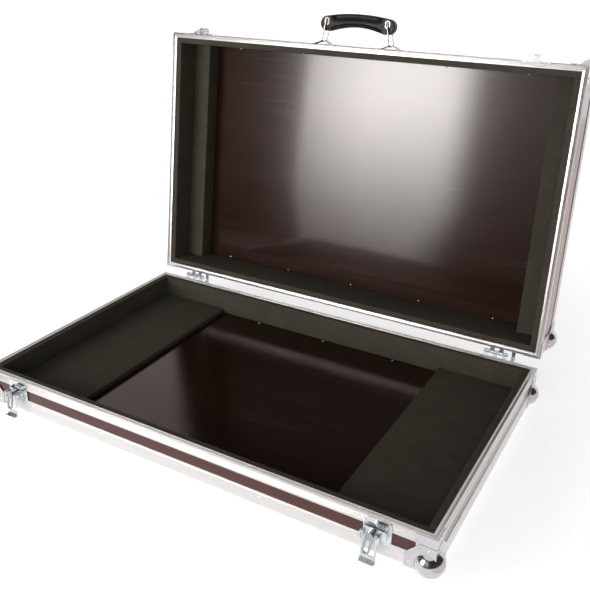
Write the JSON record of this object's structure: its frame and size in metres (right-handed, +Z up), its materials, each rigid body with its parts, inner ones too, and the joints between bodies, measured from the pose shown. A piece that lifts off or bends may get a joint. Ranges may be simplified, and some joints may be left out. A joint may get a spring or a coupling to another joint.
{
  "type": "keyboard flight case",
  "caption": "Flat flight case with a hinged lid standing open, foam lining and rests, draw latches, ball corners and a carrying handle.",
  "frame": {"origin": "middle of the open case's bounding box, on the surface it stands on", "axes": "+X along the case's long side to the right seen from the front, -Y the latch side, +Z up"},
  "size_m": [0.914, 0.7446, 0.6902],
  "materials": {
    "panel_film": "dark red-brown phenolic film on birch plywood, glossy inside",
    "aluminium_profile": "extruded and satin, with fine parallel lines",
    "bright_zinc": "bright zinc-plated pressed steel",
    "latch_steel": "zinc-plated steel",
    "spring_steel": "drawn wire",
    "foam": "closed-cell foam, charcoal",
    "grip_plastic": "moulded, black",
    "nickel": "nickel plated"
  },
  "bodies": {
    "base": {"base_bottom_panel": "panel_film", "base_front_panel": "panel_film", "base_rear_panel": "panel_film", "base_left_panel": "panel_film", "base_right_panel": "panel_film", "base_closing_profiles": "aluminium_profile", "base_edge_angles": "aluminium_profile", "base_corner_angles": "aluminium_profile", "base_ball_corners": "bright_zinc", "base_corner_braces": "bright_zinc", "base_foam_front": "foam", "base_foam_rear": "foam", "base_foam_left": "foam", "base_foam_right": "foam", "keyboard_rest_left": "foam", "keyboard_rest_right": "foam", "hinge_base_leaf_left": "latch_steel", "hinge_pin_left": "latch_steel", "latch_plate_left": "latch_steel", "latch_spring_left": "spring_steel", "hinge_base_leaf_right": "latch_steel", "hinge_pin_right": "latch_steel", "latch_plate_right": "latch_steel", "latch_spring_right": "spring_steel", "base_rivets": "bright_zinc"},
    "lid": {"lid_top_panel": "panel_film", "lid_front_panel": "panel_film", "lid_rear_panel": "panel_film", "lid_left_panel": "panel_film", "lid_right_panel": "panel_film", "lid_closing_profiles": "aluminium_profile", "lid_edge_angles": "aluminium_profile", "lid_corner_angles": "aluminium_profile", "lid_ball_corners": "bright_zinc", "lid_corner_braces": "bright_zinc", "lid_foam_front": "foam", "lid_foam_rear": "foam", "lid_foam_left": "foam", "lid_foam_right": "foam", "lid_foam_bar_left": "foam", "lid_foam_bar_right": "foam", "hinge_lid_leaf_left": "latch_steel", "keeper_left": "bright_zinc", "hinge_lid_leaf_right": "latch_steel", "keeper_right": "bright_zinc", "handle_clip_left": "bright_zinc", "handle_clip_right": "bright_zinc", "lid_rivets": "bright_zinc"},
    "handle_ring_left": {"handle_ring_left": "nickel"},
    "handle_ring_right": {"handle_ring_right": "nickel"},
    "handle_grip": {"handle_grip": "grip_plastic", "handle_eyelets": "nickel"},
    "latch_draw_left": {"latch_draw_left": "latch_steel"},
    "latch_hook_left": {"latch_hook_left": "latch_steel"},
    "latch_key_left": {"latch_key_left": "latch_steel"},
    "latch_draw_right": {"latch_draw_right": "latch_steel"},
    "latch_hook_right": {"latch_hook_right": "latch_steel"},
    "latch_key_right": {"latch_key_right": "latch_steel"}
  },
  "joints": [
    {"name": "lid_hinge", "type": "hinge", "parent": "base", "child": "lid", "pos_m": [0, 0.20413, 0.07897], "axis": [1, 0, 0], "range_deg": [0, 96.2]},
    {"name": "handle_ring_left_swing", "type": "hinge", "parent": "lid", "child": "handle_ring_left", "pos_m": [-0.091, 0.30645, 0.63162], "axis": [0, 0.9942, -0.108], "range_deg": [-25, 25]},
    {"name": "handle_ring_right_swing", "type": "hinge", "parent": "lid", "child": "handle_ring_right", "pos_m": [0.059, 0.30645, 0.63162], "axis": [0, 0.9942, -0.108], "range_deg": [-25, 25]},
    {"name": "handle_grip_turn", "type": "hinge", "parent": "handle_ring_left", "child": "handle_grip", "pos_m": [-0.083, 0.31123, 0.67566], "axis": [0, 0.9942, -0.108], "range_deg": [-28.5, 28.5]},
    {"name": "latch_key_left_turn", "type": "hinge", "parent": "base", "child": "latch_key_left", "pos_m": [-0.363, -0.36404, 0.0515], "axis": [0, 1, 0], "range_deg": [0, 80]},
    {"name": "latch_draw_left_slide", "type": "slide", "parent": "base", "child": "latch_draw_left", "axis": [0, 0, -1], "range_m": [0, 0.004]},
    {"name": "latch_hook_left_swing", "type": "hinge", "parent": "latch_draw_left", "child": "latch_hook_left", "pos_m": [-0.3655, -0.36084, 0.0475], "axis": [-1, 0, 0], "range_deg": [0, 163]},
    {"name": "latch_key_right_turn", "type": "hinge", "parent": "base", "child": "latch_key_right", "pos_m": [0.353, -0.36404, 0.0515], "axis": [0, 1, 0], "range_deg": [0, 80]},
    {"name": "latch_draw_right_slide", "type": "slide", "parent": "base", "child": "latch_draw_right", "axis": [0, 0, -1], "range_m": [0, 0.004]},
    {"name": "latch_hook_right_swing", "type": "hinge", "parent": "latch_draw_right", "child": "latch_hook_right", "pos_m": [0.3505, -0.36084, 0.0475], "axis": [-1, 0, 0], "range_deg": [0, 163]}
  ],
  "couplings": [
    {"joint": "handle_ring_right_swing", "follows": "handle_ring_left_swing", "ratio": 1},
    {"joint": "handle_grip_turn", "follows": "handle_ring_left_swing", "ratio": -1.1194},
    {"joint": "latch_draw_left_slide", "follows": "latch_key_left_turn", "m_per_rad": 0.0028648},
    {"joint": "latch_draw_right_slide", "follows": "latch_key_right_turn", "m_per_rad": 0.0028648}
  ]
}
